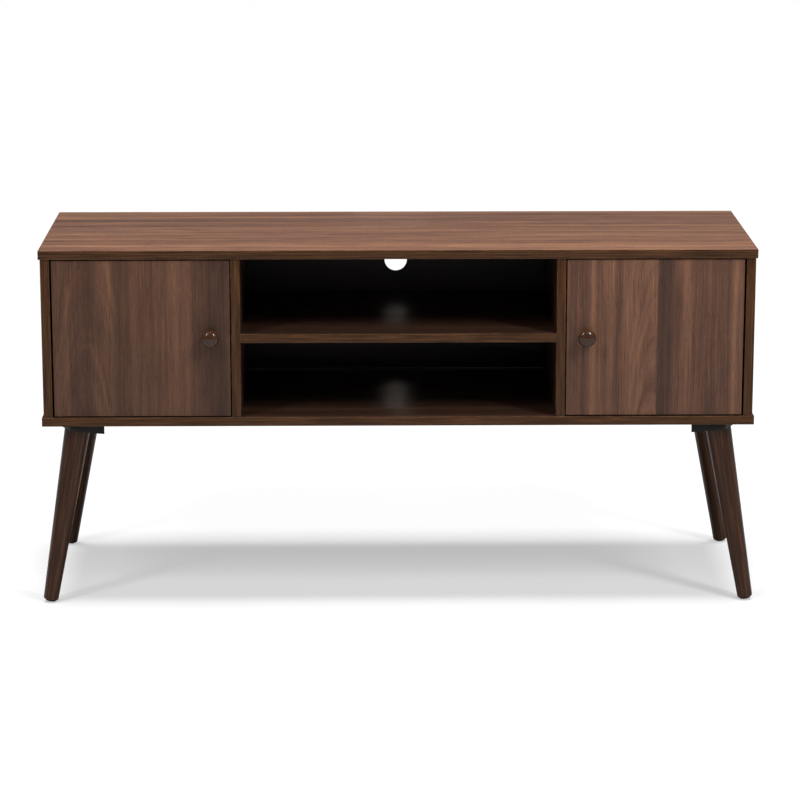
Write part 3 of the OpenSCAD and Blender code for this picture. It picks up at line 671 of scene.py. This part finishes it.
back = eased("back_panel", hardboard, 0.2 * mm, outer_only=True)
lay_grain(back, X, Z, (1.7, 0.4, 0.0), 1.0)
painted = back.data.attributes.new("painted", "FLOAT", "FACE")
for polygon in back.data.polygons:
    painted.data[polygon.index].value = float(polygon.normal.y < PAINTED_SIDE)
on_body(back, "cabinet", "hardboard", "back_panel")
print("back panel:", len(back.data.polygons), "faces")

# %% [markdown]
# ## Where the turned pieces stand
# Legs, knobs, screws, bolts, nails and dowels are all turned on an axis, and some of them lean. The
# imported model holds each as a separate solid, which is an island of its node's mesh. A turned solid
# spreads alike in two directions and differently in the third, so the odd direction is its axis.
# The rings of points at both ends then give the two end centres and the radius at each end.

# %% Turning centres
def solids(node):
    """The corner points of every separate solid in a piece, in a steady order."""
    mesh = merged(node)
    todo, found = set(mesh.verts), []
    while todo:
        reach, piece = [todo.pop()], []
        while reach:
            vertex = reach.pop()
            piece.append(vertex.co[:])
            near = {edge.other_vert(vertex) for edge in vertex.link_edges} & todo
            todo -= near
            reach.extend(near)
        found.append(np.array(piece))
    mesh.free()
    return sorted(found, key=lambda points: tuple(points.mean(0).round(4)))


def turning(points):
    """The thin end, the thick end and their radii, of one turned solid."""
    spread, ways = np.linalg.eigh(np.cov((points - points.mean(0)).T))
    way = ways[:, 0 if spread[1] - spread[0] > spread[2] - spread[1] else 2]
    for reach in (1.0 * mm, 0.3 * mm, 0.05 * mm):
        height = points @ way
        rings = [points[height < height.min() + reach], points[height > height.max() - reach]]
        low, high = (ring.mean(0) for ring in rings)
        way = (high - low) / np.linalg.norm(high - low)
    radii = [np.linalg.norm(np.cross(ring - ring.mean(0), way), axis=1).max() for ring in rings]
    ends = sorted([(radii[0], tuple(low)), (radii[1], tuple(high))])
    return Vector(ends[0][1]), Vector(ends[1][1]), ends[0][0], ends[1][0]


def centres(node):
    """(thin end, thick end) of every solid in a piece, and the radii of the first one's ends."""
    found = [turning(points) for points in solids(node)]
    thin, thick, small, large = found[0]
    print(node, len(found), "turned, length", round((thick - thin).length / mm, 2),
          "radii", round(small / mm, 2), round(large / mm, 2))
    return [(thin, thick) for thin, thick, _, _ in found], small, large

# %% [markdown]
# ## A lathe of nodes
# All turned pieces are made alike. A flat grid of points is rolled up: one direction of the grid
# becomes the turning angle, the other walks along the outline, and a formula gives the radius and
# the height at each step. `lathe` makes the grid and gives its step and angle, `turn` puts its
# points in place and welds the seam, and `set_up` places a copy on every point that the modifier is
# given, along the direction stored there. Each sort of piece is then only its own formula, on the
# sizes that `turned_tree` names. `made` runs a tree and keeps its result as a plain mesh.

# %% Lathe
FULL_TURN, QUARTER = 2 * math.pi, math.pi / 2


def turned_tree(name, **sizes):
    """A tree with the sizes of a turned piece, the places that it stands on and its material."""
    inputs = {"Places": "Geometry", **spaced(sizes), "Material": "Material"}
    return new_tree(name, "GeometryNodeTree", inputs, {"Geometry": "Geometry"})


def lathe(tree, rows, sides):
    """A grid to roll up; gives its geometry, the row number and the angle of each point."""
    inputs = {"Size X": 1.0, "Size Y": 1.0, "Vertices X": rows, "Vertices Y": sides}
    x, y, _ = worked_out(tree, "GeometryNodeInputPosition").split()
    row = ((x + 0.5) * (rows - 1.0)).maths("ROUND")
    return worked_out(tree, "GeometryNodeMeshGrid", inputs, "Mesh"), row, (y + 0.5) * FULL_TURN


def turn(tree, grid, angle, radius, height):
    """Rolls the grid up to the radius and height of each row, and welds its seam."""
    at = vector(tree, radius * angle.cosine(), radius * angle.sine(), height)
    moved = worked_out(tree, "GeometryNodeSetPosition", {"Geometry": grid, "Position": at})
    return worked_out(tree, "GeometryNodeMergeByDistance", {"Geometry": moved, "Distance": WELD})


def cut(tree, body, tool, height):
    """Lifts a closed mesh to a height and cuts it out of another."""
    moved = {"Geometry": tool, "Translation": vector(tree, z=height)}
    lifted = worked_out(tree, "GeometryNodeTransform", moved)
    return worked_out(tree, "GeometryNodeMeshBoolean", {"Mesh 1": body, "Mesh 2": lifted}, "Mesh",
                      operation="DIFFERENCE", solver="EXACT")


def bore(tree, body, radius, depth, height):
    """Drills a hole of a radius and depth down from a height."""
    inputs = {"Vertices": 40, "Radius": radius, "Depth": depth * 2.0}
    return cut(tree, body, worked_out(tree, "GeometryNodeMeshCylinder", inputs, "Mesh"), height)


def set_up(tree, output, given, body):
    """Stores the grain, sets a copy on each given point, and ends the tree."""
    x, y, z = worked_out(tree, "GeometryNodeInputPosition").split()
    aim = worked_out(tree, "GeometryNodeInputNamedAttribute", {"Name": "aim"}, data_type="FLOAT_VECTOR")
    turned = worked_out(tree, "FunctionNodeAlignRotationToVector", {"Vector": aim}, axis="Z")
    grained = {"Geometry": body, "Name": "grain", "Value": vector(tree, z, x, y)}
    kept = worked_out(tree, "GeometryNodeStoreNamedAttribute", grained, data_type="FLOAT_VECTOR",
                      domain="POINT")
    stood = {"Points": given["Places"], "Rotation": turned, "Instance": kept}
    copies = worked_out(tree, "GeometryNodeInstanceOnPoints", stood)
    real = worked_out(tree, "GeometryNodeRealizeInstances", {0: copies})
    painted = {"Geometry": real, "Material": given["Material"]}
    give(tree, output, Geometry=worked_out(tree, "GeometryNodeSetMaterial", painted))


TURNED_SHARP = math.radians(40)


def made(tree, name, places, material, **sizes):
    """Runs a tree at places, each a (start, end) pair, and gives its result as a plain object."""
    mesh = bpy.data.meshes.new(name)
    mesh.from_pydata([start for start, end in places], [], [])
    aim = mesh.attributes.new("aim", "FLOAT_VECTOR", "POINT")
    aim.data.foreach_set("vector", [c for start, end in places for c in (end - start).normalized()])
    obj = link(name, mesh)
    modifier = obj.modifiers.new(name, "NODES")
    modifier.node_group = tree
    names = {item.name: item.identifier for item in tree.interface.items_tree if item.in_out == "INPUT"}
    for label, value in spaced({"Material": material, **sizes}).items():
        modifier[names[label]] = value
    result = bpy.data.meshes.new_from_object(obj.evaluated_get(bpy.context.evaluated_depsgraph_get()))
    obj.modifiers.clear()
    obj.data = result
    bpy.data.meshes.remove(mesh)
    mesh = bmesh.new()
    mesh.from_mesh(result)
    keep(mesh, result, TURNED_SHARP)
    print(name, "made:", len(places), "set up,", len(result.polygons), "faces")
    return obj

# %% [markdown]
# ## Turned legs
# A leg is a long, straight taper with a rounded foot and an eased top edge, and a hanger bolt is
# screwed into a hole in its top. The radius grows evenly with the height between the two roundings.
# The steps along the leg are closer together near its ends, where the outline curves.

# %% Leg tree
leg_tree, given, leg_out = turned_tree(
    "turned_leg", Length=300 * mm, Foot_Radius=12 * mm, Top_Radius=20 * mm, Foot_Round=4 * mm,
    Top_Round=1 * mm, Bolt_Radius=4 * mm, Bolt_Depth=32 * mm)
LEG_ROWS, LEG_SIDES = 96, 73
grid, row, angle = lathe(leg_tree, LEG_ROWS, LEG_SIDES)
share = ((row - 1.0) / (LEG_ROWS - 3.0)).held()
height = given["Length"] * (0.5 - (share * math.pi).cosine() * 0.5)
straight = given["Length"] - given["Foot Round"] - given["Top Round"]
taper = ((height - given["Foot Round"]) / straight).held()
radius = given["Foot Radius"] + (given["Top Radius"] - given["Foot Radius"]) * taper
for size, from_end in ((given["Foot Round"], height), (given["Top Round"], given["Length"] - height)):
    inside = (size - from_end).higher(0.0)
    radius = radius - (size - (size * size - inside * inside).root())
radius = radius * (row > 0.5) * (row < LEG_ROWS - 1.5)
body = turn(leg_tree, grid, angle, radius, height)
body = bore(leg_tree, body, given["Bolt Radius"], given["Bolt Depth"], given["Length"])
set_up(leg_tree, leg_out, given, body)

# %% Four legs
FOOT_ROUND, TOP_ROUND, PLAY = 4.0 * mm, 1.0 * mm, 0.05 * mm
CORNERS = ("front_left", "front_right", "back_left", "back_right")
bolt_places, _, bolt_radius = centres("leg_bolts")
for corner in CORNERS:
    node = corner + "_leg"
    leg_places, foot_flat, top_flat = centres(node)
    foot, top = leg_places[0]
    bolt = min(bolt_places, key=lambda pair: ((pair[0] + pair[1]) / 2 - top).length)
    leg = made(leg_tree, node + "_turned", leg_places, leg_lacquer, Length=(top - foot).length,
               Foot_Radius=foot_flat + FOOT_ROUND, Top_Radius=top_flat + TOP_ROUND, Foot_Round=FOOT_ROUND,
               Top_Round=TOP_ROUND, Bolt_Radius=bolt_radius + PLAY,
               Bolt_Depth=max((end - top).length for end in bolt))
    on_body(leg, "cabinet", "lacquered_wood", node)
    print("leg leans", round(math.degrees((top - foot).angle(Vector((0, 0, 1)))), 2), "degrees")

# %% [markdown]
# ## Turned knobs
# A knob has a flat foot, a hollow cove up to a thin neck, and a round head like a mushroom. Its
# outline is three quarter turns joined end to end, so the step is cut in three, and each third
# drives one quarter of a circle. That keeps the steps even where the outline turns sharply.

# %% Knob tree
knob_tree, given, knob_out = turned_tree(
    "turned_knob", Length=25 * mm, Foot_Radius=8.5 * mm, Neck_Radius=6.25 * mm, Head_Radius=15 * mm,
    Foot_Rim=0.8 * mm, Neck_Height=6.3 * mm, Belly_Height=15.5 * mm, Screw_Radius=2 * mm, Screw_Depth=12 * mm)
KNOB_ROWS, KNOB_SIDES = 64, 73
grid, row, angle = lathe(knob_tree, KNOB_ROWS, KNOB_SIDES)
step = (row - 2.0) / (KNOB_ROWS - 3.0) * 3.0
cove, under, dome = ((step - start).held() * QUARTER for start in (0.0, 1.0, 2.0))
head_gain = (given["Head Radius"] - given["Neck Radius"]) * under.sine()
foot_gain = (given["Foot Radius"] - given["Neck Radius"]) * (1.0 - cove.sine())
radius = given["Neck Radius"] + foot_gain + head_gain - given["Head Radius"] * (1.0 - dome.cosine())
rise = (given["Neck Height"] - given["Foot Rim"]) * (1.0 - cove.cosine()) + given["Foot Rim"]
rise = rise + (given["Belly Height"] - given["Neck Height"]) * (1.0 - under.cosine())
height = (rise + (given["Length"] - given["Belly Height"]) * dome.sine()) * (row > 1.5)
body = turn(knob_tree, grid, angle, radius * (row > 0.5), height)
body = bore(knob_tree, body, given["Screw Radius"], given["Screw Depth"], 0.0)
set_up(knob_tree, knob_out, given, body)

# %% Two knobs
SIDES = ("left", "right")
for side in SIDES:
    spots, _, foot_radius = centres(side + "_knob")
    tip, foot = spots[0]
    low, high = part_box(side + "_knob")
    knob = made(knob_tree, side + "_knob_turned", [(foot, tip)], knob_lacquer, Length=(foot - tip).length,
                Foot_Radius=foot_radius, Head_Radius=(high.x - low.x) / 2, Screw_Radius=2 * mm + PLAY)
    on_body(knob, side + "_door", "lacquered_wood", side + "_knob")

# %% [markdown]
# ## Screws, bolts and nails
# Fasteners repeat by the dozen, so one tree makes them all. The shank is threaded by making the
# radius dip and rise with the angle and the height together, which winds one groove around it. A
# head is a flattened dome. The driver's cross or hexagon is a small cutting tool, cut out of the
# head once, before the copies are set up. A nail is the same tree with no thread and no driver.

# %% Fastener tree
fastener_tree, given, fastener_out = turned_tree(
    "fastener", Length=20 * mm, Shank_Radius=2 * mm, Head_Radius=4 * mm, Head_Height=2 * mm, Point=2 * mm,
    Thread_Length=10 * mm, Thread_Pitch=1.5 * mm, Thread_Depth=0.4 * mm, Driver="Object")
BLUNT_TIP, HEAD_BULGE, HEAD_FLATNESS = 0.2, 0.45, 0.8
SHANK_ROWS, HEAD_ROWS, FASTENER_SIDES = 70, 8, 21
grid, row, angle = lathe(fastener_tree, 1 + SHANK_ROWS + HEAD_ROWS, FASTENER_SIDES)
in_head = row > SHANK_ROWS + 0.5
shank_length = given["Length"] - given["Head Height"]
shank_height = shank_length * ((row - 1.0) / (SHANK_ROWS - 1.0)).held()
rounding = ((row - (SHANK_ROWS + 1.0)) / (HEAD_ROWS - 1.0)).held() * QUARTER
turns = (shank_height / given["Thread Pitch"] - angle / FULL_TURN).maths("FRACT")
groove = (turns * 2.0 - 1.0).size() * given["Thread Depth"] * (shank_height < given["Thread Length"])
pointed = (shank_height / given["Point"] + BLUNT_TIP).lower(1.0)
shank = (given["Shank Radius"] - groove) * pointed * (row > 0.5)
head = given["Head Radius"] * (rounding.cosine().higher(0.0) ** HEAD_BULGE)
radius = shank + in_head * (head - shank)
height = shank_height + given["Head Height"] * (rounding.sine() ** HEAD_FLATNESS)
body = turn(fastener_tree, grid, angle, radius, height)
driver = worked_out(fastener_tree, "GeometryNodeObjectInfo", {"Object": given["Driver"]}, "Geometry")
set_up(fastener_tree, fastener_out, given, cut(fastener_tree, body, driver, given["Length"]))

# %% Driver shapes
def driver_tool(name, outline, depth):
    """A prism with the given outline, from depth below its middle to depth above it."""
    count = len(outline)
    points = [(x, y, z) for z in (-depth, depth) for x, y in outline]
    sides = [(i, (i + 1) % count, (i + 1) % count + count, i + count) for i in range(count)]
    data = bpy.data.meshes.new(name)
    data.from_pydata(points, [], [tuple(reversed(range(count))), tuple(range(count, 2 * count)), *sides])
    return link(name, data)


def cross(width, across, depth):
    """Two crossing slots that cut a cross recess."""
    w, a = width / 2, across / 2
    outline = [(w, w), (w, a), (-w, a), (-w, w), (-a, w), (-a, -w), (-w, -w), (-w, -a), (w, -a), (w, -w),
               (a, -w), (a, w)]
    return driver_tool("cross_driver", outline, depth)


def hexagon(radius, depth):
    """A six-sided prism that cuts a hexagon recess."""
    corners = [math.radians(angle) for angle in range(0, 360, 60)]
    return driver_tool("hex_driver", [(radius * math.cos(a), radius * math.sin(a)) for a in corners], depth)


cross_large = cross(1.0 * mm, 4.8 * mm, 1.0 * mm)
cross_small = cross(0.8 * mm, 3.6 * mm, 1.0 * mm)
hex_key = hexagon(3.0 * mm, 3.0 * mm)
print("drivers:", [obj.name for obj in (cross_large, cross_small, hex_key)])

# %% [markdown]
# ## Every fastener in its place
# The table gives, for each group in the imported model, its head, point, thread, driver and finish.
# The shank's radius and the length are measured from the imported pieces, so they always fit.

# %% Fasteners
PLATED = ("zinc_plated_steel", zinc_steel)
FASTENERS = [
    # node, body, (slot, material), head height, point, thread length share, pitch, depth, driver
    ("bracket_screws", "cabinet", ("black_steel", black_steel), 2.6, 4.0, 0.85, 1.8, 0.45, cross_large),
    ("shelf_screws", "cabinet", PLATED, 3.0, 5.0, 0.7, 3.0, 0.7, hex_key),
    ("catch_screws", "cabinet", PLATED, 2.0, 3.0, 0.95, 1.3, 0.35, cross_small),
    ("back_nails", "cabinet", PLATED, 1.0, 2.5, 0.0, 1.0, 0.0, None),
    ("cam_bolts", "cabinet", PLATED, 5.5, 1.0, 0.25, 2.0, 0.5, None),
    ("leg_bolts", "cabinet", PLATED, 1.0, 2.0, 1.0, 1.25, 0.4, None),
    ("left_knob_screw", "left_door", PLATED, 2.5, 1.0, 0.9, 0.7, 0.25, cross_large),
    ("right_knob_screw", "right_door", PLATED, 2.5, 1.0, 0.9, 0.7, 0.25, cross_large),
]
for node, body_name, (slot, material), head_height, point, threaded, pitch, depth, driver in FASTENERS:
    spots, shank_radius, head_radius = centres(node)
    length = (spots[0][1] - spots[0][0]).length
    fastener = made(fastener_tree, node + "_made", spots, material, Length=length, Shank_Radius=shank_radius,
                    Head_Radius=head_radius, Head_Height=head_height * mm, Point=point * mm,
                    Thread_Length=length * threaded, Thread_Pitch=pitch * mm, Thread_Depth=depth * mm,
                    Driver=driver)
    on_body(fastener, body_name, slot, node)
for tool in (cross_large, cross_small, hex_key):
    bpy.data.objects.remove(tool)

# %% [markdown]
# ## Dowels
# A wooden dowel is fluted, so that glue can climb along it, and its ends are chamfered so that it
# finds its hole. The flutes are a wave of the radius around the turning angle.

# %% Dowel tree
dowel_tree, given, dowel_out = turned_tree(
    "fluted_dowel", Length=30 * mm, Radius=4 * mm, Chamfer=1 * mm, Flutes=12.0, Flute_Depth=0.35 * mm)
DOWEL_ROWS, DOWEL_SIDES = 12, 49
grid, row, angle = lathe(dowel_tree, DOWEL_ROWS, DOWEL_SIDES)
share = ((row - 1.0) / (DOWEL_ROWS - 3.0)).held()
height = given["Length"] * (0.5 - (share * math.pi).cosine() * 0.5)
cut_off = (given["Chamfer"] - height.lower(given["Length"] - height)).higher(0.0)
flute = given["Flute Depth"] * (0.5 - (angle * given["Flutes"]).cosine() * 0.5)
radius = (given["Radius"] - cut_off - flute) * (row > 0.5) * (row < DOWEL_ROWS - 1.5)
set_up(dowel_tree, dowel_out, given, turn(dowel_tree, grid, angle, radius, height))

# %% Dowels
spots, dowel_radius, _ = centres("wood_dowels")
dowels = made(dowel_tree, "wood_dowels_made", spots, beech, Length=(spots[0][1] - spots[0][0]).length,
              Radius=dowel_radius)
on_body(dowels, "cabinet", "bare_beech", "wood_dowels")

# %% [markdown]
# ## Moulded, cast and pressed fittings
# Brackets, catches, bushes and glides are moulded plastic, cam locks are die-cast, and strike plates
# are pressed steel. None has a single sharp edge in reality, so each is an eased copy with the
# radius that its making leaves: large on a moulded bracket, small on a pressed plate.

# %% Small fittings
FITTINGS = [
    # ending of the node, corners or sides in front of it, (slot, material), edge radius in mm
    ("_bracket", CORNERS, ("black_plastic", black_plastic), 0.6),
    ("_glide", CORNERS, ("black_plastic", black_plastic), 0.3),
    ("_pivot_bushes", SIDES, ("black_nylon", black_nylon), 0.2),
    ("_catch_case", SIDES, ("catch_plastic", catch_plastic), 0.5),
    ("_catch_magnet", SIDES, ("ferrite", ferrite), 0.2),
    ("_pole_plates", SIDES, PLATED, 0.15),
    ("_pivot_pins", SIDES, PLATED, 0.4),
    ("_strike_plate", SIDES, PLATED, 0.3),
    ("_strike_screw", SIDES, PLATED, 0.1),
    ("cam_locks", ("",), ("die_cast_zinc", cast_zinc), 0.3),
    ("threaded_inserts", ("",), PLATED, 0.3),
]
ON_DOOR = ("_pivot_pins", "_strike_plate", "_strike_screw")
for ending, places, (slot, material), radius in FITTINGS:
    for place in places:
        piece = eased(place + ending, material, radius * mm)
        on_body(piece, place + "_door" if ending in ON_DOOR else "cabinet", slot, place + ending)

# %% [markdown]
# ## Floor and light
# The stand is shown as in a furniture catalogue: on a white floor, under one broad soft light almost
# straight above, so the top is the brightest face, the bays stay dark, and the floor shows a soft
# shadow straight under the stand. Two tall softboxes in front give the knobs and legs their
# highlights, and a weak one behind shines through the cable holes. The floor glows a little, only
# for the camera, so that it stays white to the horizon and throws no light up into the bays. From
# below it is clear, so that the underside of the stand can be looked at.

# %% Floor
FLOOR_REACH = 30.0
FLOOR_GLOW = 0.47
PAPER = [(0.3, (0.40, 0.40, 0.40)), (0.7, (0.41, 0.41, 0.41))]
WHITE = (1, 1, 1, 1)

floor_mesh = bpy.data.meshes.new("floor")
corners = [(x * FLOOR_REACH, y * FLOOR_REACH, 0) for x, y in ((-1, -1), (1, -1), (1, 1), (-1, 1))]
floor_mesh.from_pydata(corners, [], [(0, 1, 2, 3)])
floor_paper, tree = new_material("floor_paper")
paper = ramp(noise(object_place(tree), 3.0, 3.0), PAPER)
glow = worked_out(tree, "ShaderNodeLightPath", (), "Is Camera Ray") * FLOOR_GLOW
above = worked_out(tree, "ShaderNodeBsdfPrincipled", {
    "Base Color": paper, "Emission Strength": glow, "Emission Color": WHITE, "Roughness": 0.9,
    "Specular IOR Level": 0.0})
below = worked_out(tree, "ShaderNodeBsdfTransparent")
under = worked_out(tree, "ShaderNodeNewGeometry", (), "Backfacing")
sheet = worked_out(tree, "ShaderNodeMixShader", {0: under, 1: above, 2: below})
put(tree, "ShaderNodeOutputMaterial", {"Surface": sheet})
floor = link("floor", floor_mesh, floor_paper)

# %% World
SEEN_SKY, LIT_SKY = 1.05, 0.15
world = bpy.data.worlds.new("studio")
scene.world = world
world.use_nodes = True
tree = world.node_tree
tree.nodes.clear()
seen, lit = (worked_out(tree, "ShaderNodeBackground", {"Color": WHITE, "Strength": strength})
             for strength in (SEEN_SKY, LIT_SKY))
camera_ray = worked_out(tree, "ShaderNodeLightPath", (), "Is Camera Ray")
both = worked_out(tree, "ShaderNodeMixShader", {0: camera_ray, 1: lit, 2: seen})
put(tree, "ShaderNodeOutputWorld", {"Surface": both})
print("world strength", SEEN_SKY, "to the camera,", LIT_SKY, "to the stand")

# %% Lamps
def lamp(name, kind, place, aim, **settings):
    """A lamp at a place, facing another."""
    data = bpy.data.lights.new(name, kind)
    for setting, value in settings.items():
        setattr(data, setting, value)
    obj = bpy.data.objects.new(name, data)
    obj.location = place
    obj.rotation_euler = (Vector(aim) - Vector(place)).to_track_quat("-Z", "Y").to_euler()
    obj.visible_camera = False
    scene.collection.objects.link(obj)
    return obj


AIM = (0, 0, 0.4)
TALL = {"shape": "RECTANGLE", "size": 0.5, "size_y": 1.5}
overhead = lamp("overhead", "SUN", (0, 0.02, 3.4), AIM, energy=3.6, angle=math.radians(18))
overhead.visible_glossy = False
lamp("left_box", "AREA", (-2.0, -2.0, 3.0), AIM, **TALL, energy=36)
lamp("right_box", "AREA", (2.0, -2.0, 3.0), AIM, **TALL, energy=60)
back_card = lamp("back_card", "AREA", (0, 0.62, 0.50), (0, 0, 0.46), shape="RECTANGLE", size=0.14,
                 size_y=0.26, energy=0.084, color=(1.0, 0.86, 0.76))
back_card.visible_diffuse = False
scene.view_settings.view_transform = "Standard"
